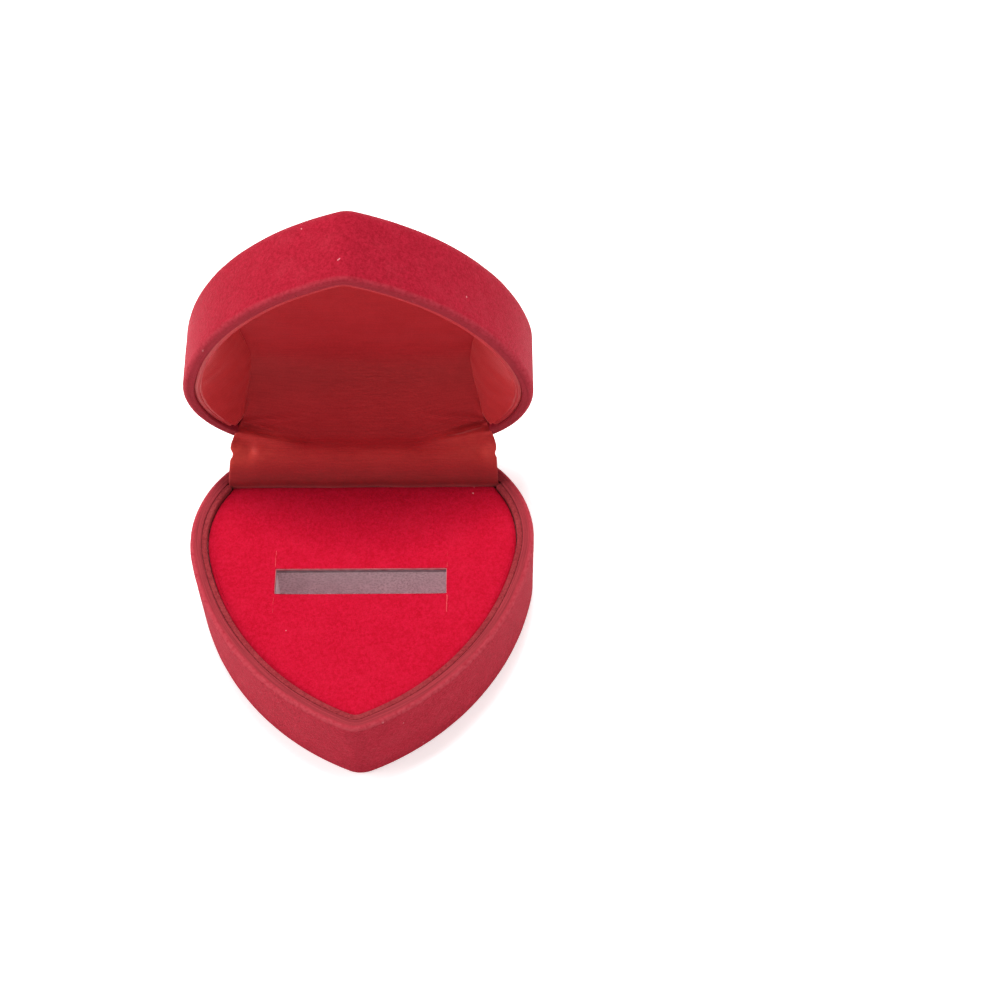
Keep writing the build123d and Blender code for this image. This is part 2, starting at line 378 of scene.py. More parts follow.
def cut_hinge_room(piece, side, place, level):
    """The notch for the hinge and the bevel behind it, side -1 in the base and 1 in the lid."""
    run = 3.0
    notch = [
        (back - notch_depth, level - notch_height),
        (back + run, level - notch_height),
        (back + run, level + notch_height),
        (back - notch_depth, level + notch_height),
    ]
    fall = run * sin(bevel) / cos(bevel)
    slope = [
        (hinge_y, level),
        (hinge_y + run, level + side * fall),
        (hinge_y + run, level - side * fall),
        (hinge_y, level - side * fall),
    ]
    cut_away(piece, "notch_cutter", *prism(notch, notch_half, place))
    cut_away(piece, "bevel_cutter", *prism(slope, half_width, place))


# ---- materials ----
class Nodes:
    """A material's node tree, built by naming what feeds what."""

    def __init__(self, name):
        self.material = bpy.data.materials.new(name)
        self.material.use_nodes = True
        self.tree = self.material.node_tree
        self.shader = self.tree.nodes["Principled BSDF"]

    def add(self, kind, inputs=None, **settings):
        node = self.tree.nodes.new(kind)
        for key, value in settings.items():
            setattr(node, key, value)
        for key, value in (inputs or {}).items():
            self.feed(node.inputs[key], value)
        return node

    def feed(self, socket, value):
        if isinstance(value, bpy.types.NodeSocket):
            self.tree.links.new(value, socket)
        else:
            socket.default_value = value

    def set(self, **values):
        for key, value in values.items():
            self.feed(self.shader.inputs[key.replace("_", " ")], value)

    def math(self, operation, a, b=0.0, clamp=False):
        node = self.add("ShaderNodeMath", operation=operation, use_clamp=clamp)
        self.feed(node.inputs[0], a)
        self.feed(node.inputs[1], b)
        return node.outputs[0]

    def noise(self, where, scale, detail=2.0, roughness=0.5):
        grain = {"Scale": scale, "Detail": detail, "Roughness": roughness}
        return self.add("ShaderNodeTexNoise", {"Vector": where, **grain}).outputs["Fac"]

    def ramp(self, value, low, high, to_low=0.0, to_high=1.0):
        span = {"From Min": low, "From Max": high, "To Min": to_low, "To Max": to_high}
        return self.add("ShaderNodeMapRange", {"Value": value, **span}).outputs["Result"]

    def object_place(self):
        return self.add("ShaderNodeTexCoord").outputs["Object"]

    def marked(self, attribute):
        """A value stored at the mesh's points."""
        return self.add("ShaderNodeAttribute", attribute_name=attribute).outputs["Fac"]

    def stretched(self, where, scale):
        return self.add("ShaderNodeMapping", {"Vector": where, "Scale": scale}).outputs[0]

    def mix(self, share, a, b):
        node = self.add("ShaderNodeMix", data_type="RGBA")
        self.feed(node.inputs["Factor"], share)
        self.feed(node.inputs["A"], a)
        self.feed(node.inputs["B"], b)
        return node.outputs["Result"]

    def bump(self, height, distance, strength=1.0, normal=None):
        node = self.add("ShaderNodeBump", {"Height": height, "Distance": distance})
        self.feed(node.inputs["Strength"], strength)
        if normal is not None:
            self.feed(node.inputs["Normal"], normal)
        return node.outputs["Normal"]


def rgb(red, green, blue):
    return (red, green, blue, 1.0)


def lint(m, where):
    """A few small specks with ragged edges."""
    warp = m.add("ShaderNodeTexNoise", {"Vector": where, "Scale": 900.0, "Detail": 2.0})
    bent = m.add("ShaderNodeMix", {"Factor": 0.0011}, data_type="RGBA", blend_type="ADD")
    m.feed(bent.inputs["A"], where)
    m.feed(bent.inputs["B"], warp.outputs["Color"])
    spread = {"Vector": bent.outputs["Result"], "Scale": 430.0}
    cells = m.add("ShaderNodeTexVoronoi", spread, feature="F1")
    chance = m.add("ShaderNodeSeparateColor", {"Color": cells.outputs["Color"]})
    reach = m.ramp(chance.outputs["Green"], 0.0, 1.0, 0.03, 0.10)
    near = m.math("LESS_THAN", cells.outputs["Distance"], reach)
    kept = m.math("GREATER_THAN", chance.outputs["Red"], 0.82)
    return m.math("MULTIPLY", near, kept, clamp=True)


def flock(name, deep, bright, dusty, sheen, tint, pile=0.00011, rubbed=None):
    """Short dense pile: fine grain, soft mottling, a dusty bloom and a few bits of lint.

    Where the mesh is marked "rim", the pile is rubbed: streaked, with a light line along its
    outer edge. rubbed holds the dark streak, the light streak and that line."""
    m = Nodes(name)
    where = m.object_place()
    grain = m.noise(where, 4600, 2.0, 0.6)
    tufts = m.noise(where, 2100, 2.0, 0.6)
    brushed = m.noise(where, 260, 3.0, 0.6)
    shade = m.math("ADD", m.math("MULTIPLY", grain, 0.5), m.math("MULTIPLY", tufts, 0.5))
    colour = m.mix(m.ramp(shade, 0.38, 0.62), deep, bright)
    colour = m.mix(m.math("MULTIPLY", m.ramp(brushed, 0.48, 0.75), 0.25), colour, dusty)
    colour = m.mix(m.math("MULTIPLY", m.ramp(brushed, 0.45, 0.3), 0.25), colour, deep)
    colour = m.mix(m.math("MULTIPLY", lint(m, where), 0.55), colour, rgb(0.75, 0.32, 0.34))
    if rubbed:
        dark_streak, light_streak, edge_line = rubbed
        rim = m.marked("rim")
        inset = m.marked("inset")
        across = m.add("ShaderNodeCombineXYZ", {"X": m.math("MULTIPLY", inset, 9.0)}).outputs[0]
        slow = m.stretched(where, (160.0, 160.0, 160.0))
        along = m.add("ShaderNodeVectorMath", {0: slow, 1: across}, operation="ADD")
        streak = m.ramp(m.noise(along.outputs[0], 1.0, 2.0), 0.35, 0.65)
        top = m.math("MULTIPLY", m.ramp(inset, 0.40, 0.75), rim)
        edge = m.math("MULTIPLY", m.ramp(inset, 0.75, 0.40), rim)
        edge = m.math("MULTIPLY", edge, m.ramp(tufts, 0.25, 0.60, 0.35, 0.95))
        colour = m.mix(top, colour, m.mix(streak, dark_streak, light_streak))
        colour = m.mix(edge, colour, edge_line)
    m.set(Base_Color=colour, Roughness=0.95, Specular_IOR_Level=0.08)
    m.set(Sheen_Weight=sheen, Sheen_Roughness=0.35, Sheen_Tint=tint)
    m.set(Normal=m.bump(tufts, pile * 1.6, 0.25, m.bump(grain, pile, 0.7)))
    return m.material


rib_pitch = 0.00024
yarn_pitch = 0.00017


def satin(name, deep, bright, painted_highlight_colour, painted_shade_colour):
    """Polyester satin: fine ribs across the ribbon and a soft silky shine.

    It is lightened with a painted highlight where the mesh is marked "worn", and darkened with
    painted shade where "soiled"."""
    m = Nodes(name)
    cloth = m.add("ShaderNodeUVMap", uv_map="cloth").outputs["UV"]
    where = m.object_place()
    apart = m.add("ShaderNodeSeparateXYZ", {"Vector": cloth})
    rib = m.math("SINE", m.math("MULTIPLY", apart.outputs["Y"], 2 * pi / rib_pitch))
    yarn = m.math("SINE", m.math("MULTIPLY", apart.outputs["X"], 2 * pi / yarn_pitch))
    weave = m.math("ADD", m.math("MULTIPLY", rib, 0.7), m.math("MULTIPLY", yarn, 0.3))
    slub = m.noise(m.stretched(cloth, (110, 2600, 1)), 1.6, 3, 0.6)
    cloud = m.noise(where, 130, 2.0, 0.5)
    speck = m.noise(where, 5200, 1.0, 0.5)
    colour = m.mix(m.ramp(slub, 0.10, 0.90), deep, bright)
    colour = m.mix(m.math("MULTIPLY", m.ramp(weave, -1, 1), 0.10), colour, bright)
    colour = m.mix(m.math("MULTIPLY", m.ramp(cloud, 0.4, 0.7), 0.25), colour, deep)
    colour = m.mix(m.math("MULTIPLY", m.ramp(speck, 0.50, 0.72), 0.45), colour, bright)
    colour = m.mix(m.math("MULTIPLY", m.ramp(speck, 0.46, 0.28), 0.40), colour, deep)
    uneven = m.ramp(m.noise(where, 900, 3, 0.6), 0.3, 0.7, 0.6, 1.0)
    # Painted highlight: lighter, in patches, where the mesh is marked "worn"
    colour = m.mix(m.math("MULTIPLY", m.marked("painted_light"), uneven), colour, painted_highlight_colour)
    # Painted shade: darker, in patches, where the mesh is marked "soiled"
    colour = m.mix(m.math("MULTIPLY", m.marked("painted_shade"), uneven), colour, painted_shade_colour)
    m.set(Base_Color=colour, Specular_IOR_Level=0.55, Specular_Tint=rgb(1.0, 0.18, 0.15))
    m.set(Roughness=m.ramp(slub, 0.2, 0.8, 0.36, 0.42), Anisotropic=0.5)
    m.set(Sheen_Weight=1.0, Sheen_Roughness=0.35, Sheen_Tint=rgb(1.0, 0.24, 0.25))
    m.set(Normal=m.bump(weave, 0.00002, 0.35, m.bump(cloud, 0.0005, 0.25)))
    return m.material


def board(name, colour_a, colour_b):
    """Dull fibrous card."""
    m = Nodes(name)
    where = m.object_place()
    fibre = m.noise(m.stretched(where, (1, 1, 4)), 900, 4)
    speck = m.noise(where, 3200, 2)
    m.set(Base_Color=m.mix(m.ramp(fibre, 0.35, 0.65), colour_a, colour_b), Roughness=0.92)
    m.set(Specular_IOR_Level=0.2, Normal=m.bump(speck, 0.00005, 0.6))
    return m.material


def foam(name, colour_a, colour_b):
    """Cut sponge: small open cells."""
    m = Nodes(name)
    where = m.object_place()
    cells = m.add("ShaderNodeTexVoronoi", {"Vector": where, "Scale": 2600.0}, feature="F1")
    depth = m.ramp(cells.outputs["Distance"], 0.1, 0.7)
    drift = m.noise(where, 500, 3)
    colour = m.mix(depth, colour_a, colour_b)
    colour = m.mix(m.math("MULTIPLY", m.ramp(drift, 0.4, 0.7), 0.4), colour, colour_a)
    m.set(Base_Color=colour, Roughness=0.95, Specular_IOR_Level=0.15)
    m.set(Normal=m.bump(depth, 0.00012, 0.6))
    return m.material


def steel(name, colour_a, colour_b, roughness):
    """Nickel-plated strip with drawing lines and faint staining."""
    m = Nodes(name)
    where = m.object_place()
    lines = m.noise(m.stretched(where, (40, 3000, 3000)), 1, 3)
    stain = m.noise(where, 300, 3)
    m.set(Base_Color=m.mix(m.ramp(stain, 0.4, 0.7), colour_a, colour_b), Metallic=1.0)
    m.set(Roughness=m.ramp(lines, 0.3, 0.7, roughness - 0.08, roughness + 0.1), Anisotropic=0.4)
    m.set(Normal=m.bump(lines, 0.00001, 0.4))
    return m.material


shell_flock = flock(
    "shell_flock", rgb(0.25, 0.005, 0.015), rgb(0.37, 0.011, 0.029), rgb(0.38, 0.026, 0.044),
    0.20, rgb(1.0, 0.28, 0.32),
    rubbed=(rgb(0.22, 0.022, 0.030), rgb(0.33, 0.035, 0.046), rgb(0.40, 0.046, 0.062)),
)
rim_flock = flock(
    "rim_flock", rgb(0.19, 0.016, 0.022), rgb(0.30, 0.033, 0.040), rgb(0.33, 0.055, 0.060),
    0.18, rgb(1.0, 0.40, 0.38),
)
velvet = flock(
    "insert_velvet", rgb(0.38, 0.002, 0.014), rgb(0.49, 0.005, 0.029), rgb(0.52, 0.010, 0.036),
    0.10, rgb(1.0, 0.3, 0.4), pile=0.00008,
)
satin_cloth = satin(
    "red_satin", rgb(0.33, 0.012, 0.018), rgb(0.52, 0.028, 0.036),
    rgb(0.80, 0.085, 0.070), rgb(0.18, 0.019, 0.021),
)
grey_board = board("grey_board", rgb(0.26, 0.18, 0.20), rgb(0.36, 0.27, 0.29))
grey_foam = foam("grey_foam", rgb(0.59, 0.44, 0.47), rgb(0.82, 0.64, 0.68))
pressed_pile = flock(
    "pressed_pile", rgb(0.52, 0.030, 0.042), rgb(0.64, 0.062, 0.082), rgb(0.66, 0.09, 0.11),
    0.10, rgb(1.0, 0.3, 0.4),
)
cut_pile = board("cut_pile", rgb(0.52, 0.10, 0.13), rgb(0.70, 0.24, 0.26))
hinge_steel = steel("hinge_steel", rgb(0.62, 0.62, 0.63), rgb(0.42, 0.41, 0.41), 0.38)
spring_steel = steel("spring_steel", rgb(0.52, 0.53, 0.56), rgb(0.36, 0.36, 0.38), 0.32)


# ---- base shell ----
def lean(z, height):
    """How far the wall stands in at height z, since it widens slightly to its rim."""
    return draft * (1 - z / height)


def base_shell():
    profile = quarter((foot_radius, foot_radius), foot_radius, 270, 180, 9)
    profile += straight((0, foot_radius), (0, seam - rim_radius), 0.5)
    profile += quarter((rim_radius, seam - rim_radius), rim_radius, 180, 90, 7)[1:]
    inner = wall - lip_radius
    profile += straight((rim_radius, seam), (inner, seam), 0.22)
    profile += quarter((inner, seam - lip_radius), lip_radius, 90, 0, 5)[1:]
    profile += straight((wall, seam - lip_radius), (wall, base_floor), 0.8)
    outer_end = next(k for k, (inset, z) in enumerate(profile) if inset > inner - 0.01)
    centre = box_loop().mean(0)
    under = box_loop(foot_radius)
    loops = [at_height(shrunk(under, s, centre), 0) for s in np.linspace(0.06, 0.985, 14)]
    for k, (inset, z) in enumerate(profile):
        # The lean fades out over four rings of the rim, since the inside stands upright
        share = 1.0 if k < outer_end else max(0.0, 1 - (k - outer_end) / 4)
        loops.append(at_height(box_loop(inset + share * lean(z, seam)), z))
    floor_loop = box_loop(wall)
    loops += [at_height(shrunk(floor_loop, s, centre), base_floor) for s in (0.7, 0.4, 0.1)]
    piece = skin("base_flocked_shell", loops, in_base, shell_flock)
    cut_hinge_room(piece, -1, in_base, seam)
    finish_flock(piece, 1, below_seam, plain_y, 1.0)
    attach(piece, "base")
    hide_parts("base_shell")


def finish_flock(piece, seed, height, flat_y, rubbing):
    """Make the pile's surface slightly uneven, mark its rubbed rim and keep its real edges.

    height gives how far points stand from the seam and flat_y where they lie along Y with the
    lid closed, both in millimetres. rubbing is how much the rim is rubbed, up to 1."""
    rim_from, rim_fade = 0.3, 0.35
    mesh = piece.data
    points = np.zeros(len(mesh.vertices) * 3)
    mesh.vertices.foreach_get("co", points)
    points = points.reshape(-1, 3)
    store(piece, "rim", rubbing * np.clip(1 - (height(points) - rim_from) / rim_fade, 0, 1))
    spots = np.column_stack([points[:, 0] / MM, flat_y(points)])
    loop = box_loop(fine=3)
    store(piece, "inset", [np.linalg.norm(loop - spot, axis=1).min() for spot in spots])
    points = roughened(points, 0.025 * MM, 0.0030, seed)
    mesh.vertices.foreach_set("co", points.ravel())
    mesh.update()
    mesh.shade_smooth()
    mesh.set_sharp_from_angle(angle=radians(42))


def below_seam(points):
    return seam - points[:, 2] / MM


def plain_y(points):
    return points[:, 1] / MM


def shut_y(points):
    return turned_y(points[:, 1] / MM, points[:, 2] / MM)


def above_seam(points):
    """How far points of the open lid stand above the seam once it is shut."""
    y = points[:, 1] / MM - hinge_y
    z = points[:, 2] / MM - seam
    return y * sin(open_angle) + z * cos(open_angle)


# ---- lid shell ----
def pillow_height(inset):
    """Rise of the padded heart, inset from its edge: a quick round shoulder, then a slow dome."""
    edge = min(inset / 4.2, 1.0)
    shoulder = (1 - (1 - edge) ** 2) ** 0.62
    dome = min(inset / 14.0, 1.0)
    return pillow_rise * (0.70 * shoulder + 0.30 * sin(pi / 2 * dome))


def lid_shell():
    inner = wall - lip_radius
    inner_top = lid_height - lid_top
    centre = box_loop().mean(0)
    loops = [at_height(shrunk(box_loop(wall), s, centre), inner_top) for s in (0.1, 0.4, 0.7)]
    profile = [(wall, inner_top)]
    profile += straight((wall, inner_top), (wall, seam_gap + lip_radius), 0.8)
    profile += quarter((inner, seam_gap + lip_radius), lip_radius, 0, -90, 5)[1:]
    profile += straight((inner, seam_gap), (rim_radius, seam_gap), 0.22)
    profile += quarter((rim_radius, seam_gap + rim_radius), rim_radius, 270, 180, 7)[1:]
    profile += straight((0, seam_gap + rim_radius), (0, lid_height - crown_radius), 0.5)
    wall_end = len(profile)
    profile += quarter((crown_radius, lid_height - crown_radius), crown_radius, 180, 90, 14)[1:]
    for k, (inset, z) in enumerate(profile):
        # The outside leans in towards the top, and the inside stands upright
        share = min(1.0, max(0.0, (k - wall_end + 26) / 8)) if inset < wall - 0.3 else 0.0
        loops.append(at_height(box_loop(inset + share * draft * z / lid_height), z))
    # From the rounded edge over the level margin to the foot of the border
    edge_loop = box_loop(crown_radius + draft)
    border_loop = outline(pillow_arcs, -border_width)
    for t in (0.35, 0.7, 1.0):
        loops.append(at_height(edge_loop * (1 - t) + border_loop * t, lid_height))
    for t in np.linspace(0.12, 1, 8):
        dip = 0.12 * sin(pi * t)
        loops.append(at_height(outline(pillow_arcs, -border_width * (1 - t)), lid_height - dip))
    # Close rings over the padded heart's shoulder, then rings shrunk towards its middle
    shoulder_end = 2.4
    for inset in (0.03, 0.09, 0.18, 0.3, 0.48, 0.7, 0.98, 1.3, 1.65, 2.05, shoulder_end):
        loops.append(at_height(outline(pillow_arcs, inset), lid_height + pillow_height(inset)))
    middle = outline(pillow_arcs).mean(0)
    inside = outline(pillow_arcs, shoulder_end)
    for s in np.linspace(0.95, 0.03, 24):
        rise = pillow_height(shoulder_end + (1 - s) * 12)
        loops.append(at_height(shrunk(inside, s, middle), lid_height + rise))
    piece = skin("lid_flocked_shell", loops, in_lid, shell_flock)
    cut_hinge_room(piece, 1, in_lid, 0.0)
    finish_flock(piece, 2, above_seam, shut_y, 0.55)
    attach(piece, "lid")
    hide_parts("lid_shell")


def beaded_border():
    """A cord of slanting beads laid round the padded heart."""
    bead_pitch = 1.48
    per_bead = 12
    buried = 0.1
    middle = outline(pillow_arcs, -border_width / 2, fine=4)
    length = np.linalg.norm(np.diff(np.vstack([middle, middle[:1]]), axis=0), axis=1).sum()
    around = round(length / bead_pitch) * per_bead
    line = resampled(middle, around)
    ahead = np.roll(line, -1, axis=0) - np.roll(line, 1, axis=0)
    ahead /= np.linalg.norm(ahead, axis=1)[:, None]
    outwards = np.column_stack([ahead[:, 1], -ahead[:, 0]])
    section = np.linspace(-20, 200, 15)
    points = []
    for k in range(around):
        turn = k / per_bead
        wobble = noise.noise(Vector((turn * 0.9, 4.2, 1.7)))
        drift = 0.30 * noise.noise(Vector((turn * 0.45, 1.3, 6.1)))
        for a in section:
            slant = turn + drift + 0.20 * cos(radians(a))
            pinch = abs(sin(pi * slant)) ** 0.62
            swell = 0.60 + 0.38 * pinch + 0.13 * wobble
            across = 0.95 * swell * cos(radians(a))
            rise = (border_rise + buried) * swell * sin(radians(a)) - buried
            spot = line[k] + outwards[k] * across
            points.append((spot[0], spot[1], lid_height + rise))
    faces = skin_faces(around, len(section), closed_around=True)
    piece = new_piece("lid_beaded_border", in_lid(points), faces, shell_flock, sharp=75)
    face_outwards(piece)
    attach(piece, "lid")
    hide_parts("lid_shell")


# ---- liners ----
def collar(name, low, top, chord, place, flip, material, body, node):
    """A strip standing round the inside of a shell, open at the back, with a rounded lip."""
    radius = 0.16
    side = -1 if flip else 1
    section = [(liner_outer, low)]
    section += straight((liner_outer, low), (liner_outer, top - side * radius), 1.0)
    lip = quarter((liner_outer + radius, 0), radius, 180, 90, 5)[1:]
    lip += quarter((liner_inner - radius, 0), radius, 90, 0, 5)
    section += [(inset, top - side * radius + side * rise) for inset, rise in lip]
    section += straight((liner_inner, top - side * radius), (liner_inner, low), 1.0)
    guide = box_loop((liner_outer + liner_inner) / 2, fine=1.5)
    count = len(guide)
    around = [k % count for k in range(-count // 2, count // 2)]
    kept = [k for k in around if guide[k][1] < back - chord]
    wide = len(kept)
    rows, uv = [], []
    for inset, z in section:
        rows.append(at_height(box_loop(inset, fine=1.5)[kept], z))
        along = np.arange(wide) * 0.35
        uv.append(np.column_stack([along, np.full(wide, z + inset)]) * MM)
    points = np.vstack(rows)
    faces = skin_faces(len(section), wide, closed_ring=False, closed_around=True)
    faces.append(tuple(r * wide for r in range(len(section))))
    faces.append(tuple(r * wide + wide - 1 for r in range(len(section) - 1, -1, -1)))
    piece = new_piece(name, place(points), faces, material, np.vstack(uv), sharp=50)
    face_outwards(piece)
    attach(piece, body)
    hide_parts(node)


# ---- insert ----
def insert_facing():
    """The velvet facing: rolled down at its outer edge and cut clean round the slot."""
    around = 480
    unevenness = 0.07
    chord = back - insert_back
    loop = box_loop(insert_inset, fine=2)
    count = len(loop)
    right = [p for p in loop[: count // 2] if p[1] < chord]
    left = [p for p in loop[count // 2 :] if p[1] < chord]
    corner = wall_x(chord, insert_inset)
    chord_line = [(x, chord) for x in np.linspace(corner, -corner, 40)]
    outer = resampled(np.array(right + chord_line + left), around)
    a, b = slot_half_length, slot_half_width - nap
    slot = [(0, -b), (a, -b), (a, b), (-a, b), (-a, -b)]
    inner = resampled(np.array(slot, float), around) + (0, slot_y)

    def inwards(loop2d, amount):
        ahead = np.roll(loop2d, -1, axis=0) - np.roll(loop2d, 1, axis=0)
        ahead /= np.linalg.norm(ahead, axis=1)[:, None] + 1e-9
        return loop2d + np.column_stack([-ahead[:, 1], ahead[:, 0]]) * amount

    top = insert_top
    low = top - flock_thickness
    rows = [at_height(inner, low), at_height(inner, top - 0.14)]
    rows.append(at_height(inwards(inner, -0.05), top - 0.04))
    rows.append(at_height(inwards(inner, -0.13), top))
    for t in np.concatenate([[0.012, 0.03], np.linspace(0.06, 0.94, 46)]):
        rows.append(at_height(outer * t + inner * (1 - t), top))
    # Its back edge runs on under the ribbon, so it rolls down only along the curved sides
    rolled = np.clip((chord - outer[:, 1]) / 0.8, 0.12, 1.0)[:, None]
    for inset, fall in ((0.5, 0.0), (0.34, 0.015), (0.2, 0.06), (0.1, 0.13), (0.03, 0.22)):
        edge = outer + (inwards(outer, inset) - outer) * rolled
        rows.append(np.column_stack([edge, top - fall * rolled]))
    rows.append(at_height(outer, low))
    points = np.vstack(rows)
    for point in points:
        if point[2] > top - 0.01:
            spot = Vector((point[0] / 9, point[1] / 9, 2.2))
            point[2] += unevenness * noise.noise(spot)
    faces = skin_faces(len(rows), around, closed_around=True)
    piece = new_piece("insert_velvet_facing", in_base(points), faces, velvet, sharp=60)
    face_outwards(piece)
    piece.data.materials.append(cut_pile)
    # The slot's cut edge is the first two rings
    for face in piece.data.polygons[: around * 2]:
        face.material_index = 1
    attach(piece, "base")
    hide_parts("insert_flock")


def score_marks():
    """Faint lines that the cutting die pressed beyond the slot's ends."""
    length = 2.7
    widest = 0.25
    sunk = insert_top - 0.1
    points, faces = [], []
    for hand in (-1, 1):
        for side in (-1, 1):
            first = len(points)
            for k, t in enumerate(np.linspace(0, 1, 12)):
                drift = 0.10 * noise.noise(Vector((t * 3, hand, side)))
                x = hand * (slot_half_length + 0.12) + drift
                y = slot_y + side * (slot_half_width + 0.15 + length * t)
                wide = widest * (1 - 0.6 * t)
                top = insert_top + 0.03 + 0.015 * sin(9 * t + hand)
                points += [(x - wide, y, sunk), (x, y, top), (x + wide, y, sunk)]
                if k:
                    a, b = first + 3 * k - 3, first + 3 * k
                    faces += [(a + m, a + n, b + n, b + m) for m, n in ((0, 1), (1, 2), (2, 0))]
            faces += [(first, first + 1, first + 2), (b, b + 1, b + 2)]
    piece = new_piece("slot_score_marks", in_base(points), faces, pressed_pile, sharp=80)
    face_outwards(piece)
    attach(piece, "base")
    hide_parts("insert_flock")


# ---- satin ----
# The lid's ceiling rises from its crease at the hinge to a knee, then runs nearly level to the
# front. Each place is given by its half width, distance from the back and depth in the lid.
crease_half, crease_in, crease_deep = 17.3, 5.6, 1.75
knee_half, knee_in, knee_deep = 15.4, 14.0, 7.5
front_deep = 8.5
# The ribbon's half width where it leaves the base and where it bends over the hinge
foot_half = 19.15
ridge_half = 18.75
ridge = (hinge_y - 2.6, seam + 3.0)


def ceiling_depth(y):
    """Depth of the ceiling satin above the seam, where the lid is closed, at y."""
    inset = back - y
    if inset < knee_in:
        return crease_deep + (knee_deep - crease_deep) * (inset - crease_in) / (knee_in - crease_in)
    return knee_deep + (front_deep - knee_deep) * (inset - knee_in) / (back - tip - knee_in)


def panel_edge(y):
    """Half the ceiling's width between the side panels at y: narrowest at the knee."""
    inset = back - y
    if inset < knee_in:
        return knee_half + (crease_half - knee_half) * (knee_in - inset) / (knee_in - crease_in)
    return knee_half + 0.18 * (inset - knee_in)


def lid_yz(y, z):
    """A (y, z) point of the closed lid, z above the seam, in the row frame."""
    moved = in_lid(np.array([[0.0, y, z]]))[0] / MM
    return moved[1], moved[2]


def shut_lining_y(y, z, lower):
    """Where a point of the lining lies along Y in the shut box, as it turns between the bodies."""
    rise = np.array(ridge) - lower
    t = min(max(float((np.array((y, z)) - lower) @ rise / (rise @ rise)), 0.0), 1.0)
    return turned_y(y, z, open_angle * t * t * (3 - 2 * t))


def softened(corners, radii, counts):
    """A line through corners, each eased by its radius, with a set count of points a run."""
    corners = [np.asarray(c, float) for c in corners]
    bend_points = 13
    middle = bend_points // 2
    runs = []
    start = corners[0]
    half_bend = []
    for k in range(1, len(corners)):
        corner = corners[k]
        run = [start] + half_bend
        if k == len(corners) - 1:
            run.append(corner)
        else:
            bend = eased(corners[k - 1], corner, corners[k + 1], radii[k - 1], bend_points)
            run += bend[: middle + 1]
            start, half_bend = bend[middle], bend[middle + 1 :]
        runs.append(resampled(run, counts[k - 1] + 1, closed=False))
    return np.vstack([run[:-1] for run in runs] + [runs[-1][-1:]])


def lining_sheet():
    """One strip of satin: up from behind the insert, over the hinge and along the ceiling.

    Its corners are caught at the ceiling's crease, so the slope's foot dips between them."""
    tuck = back - insert_back + 0.12
    front_y = tip + liner_inner + 0.25
    knee_y = back - knee_in
    crease = np.array(lid_yz(back - crease_in, crease_deep))
    knee = np.array(lid_yz(knee_y, knee_deep))
    front = lid_yz(front_y, ceiling_depth(front_y))
    lower = (tuck + 0.3, seam - 0.2)
    downhill = (crease - knee) / np.linalg.norm(crease - knee)
    wall_margin = 0.25
    level_half, foot_sag, right_slack = 7.5, 2.75, 0.35
    counts = (16, 8, 16, 26, 44, 96)
    columns = 161
    marks = np.concatenate([[0], np.cumsum(counts)])
    lines = []
    for u in np.linspace(-1, 1, columns):
        side = max((abs(u) * crease_half - level_half) / (crease_half - level_half), 0.0)
        sag = foot_sag * (1 - side) ** 1.1
        if u > 0:
            sag -= right_slack * side * (1 - side) * 4
        foot = crease + downhill * sag
        corners = [(tuck, seam - 6.8), (tuck, insert_top - 0.9), (tuck - 0.3, seam + 0.8)]
        corners += [ridge, foot, knee, front]
        lines.append(softened(corners, (0.5, 1.3, 1.7, 0.5 + 1.1 * (1 - side), 4.0), counts))
    lines = np.array(lines)
    centre = lines[columns // 2]
    reached = np.concatenate([[0], np.cumsum(np.linalg.norm(np.diff(centre, axis=0), axis=1))])
    points, uv = [], []
    for row in range(marks[-1] + 1):
        if row <= marks[3] + 3:
            share = min(max((row - marks[1]) / (marks[3] - marks[1]), 0.0), 1.0)
            half = foot_half - (foot_half - ridge_half) * share
        elif row <= marks[4]:
            share = (row - marks[3] - 3) / (counts[3] - 3)
            half = ridge_half - (ridge_half - crease_half) * share**1.4
        elif row <= marks[5]:
            half = crease_half + (knee_half - crease_half) * (row - marks[4]) / counts[4]
        else:
            local = turned_y(*centre[row])
            half = min(panel_edge(local), wall_x(local, liner_inner + 0.07))
        half = max(half, 0.15)
        step = min(row, marks[-1] - 1)
        for column, u in enumerate(np.linspace(-1, 1, columns)):
            y, z = lines[column][row]
            ahead = lines[column][step + 1] - lines[column][step]
            ahead /= np.linalg.norm(ahead)
            x = half * u
            lift = satin_relief(x, row, marks, half)
            y, z = y - ahead[1] * lift, z + ahead[0] * lift
            uv.append((x * MM, reached[row] * MM))
            if marks[2] < row <= marks[4]:
                # The shut lid draws this stretch down, where it stays inside the base's wall
                room = wall_x(shut_lining_y(y, z, lower), wall_margin)
                x *= 1 - max(0.0, 1 - room / half) * abs(u) ** 6
            points.append((x, y, z))
    faces = skin_faces(marks[-1] + 1, columns, closed_ring=False)
    piece = new_piece("satin_lining", in_base(points), faces, satin_cloth, uv, sharp=80)
    painted_light, painted_shade = [], []
    # Painted highlight along the satin's bend over the hinge, at its ends and on its fold facets
    for row in range(marks[-1] + 1):
        painted_light += [satin_painted_highlight(u, row, marks) for u in np.linspace(-1, 1, columns)]
        # Painted shade: darker along the ribbon's foot behind the insert, and a little on the slope
        # below the knee
        painted_shade += [bell(row, marks[1] + 3, 10) + 0.25 * bell(row, marks[5] - 8, 12)] * columns
    store(piece, "painted_light", painted_light)
    store(piece, "painted_shade", painted_shade)
    thicken(piece, satin_thickness)
    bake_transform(piece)
    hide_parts("hinge_ribbon", "lid_ceiling_satin")


def bell(value, middle, width):
    """1 at the middle, falling smoothly to nothing on both sides."""
    return exp(-(((value - middle) / width) ** 2))


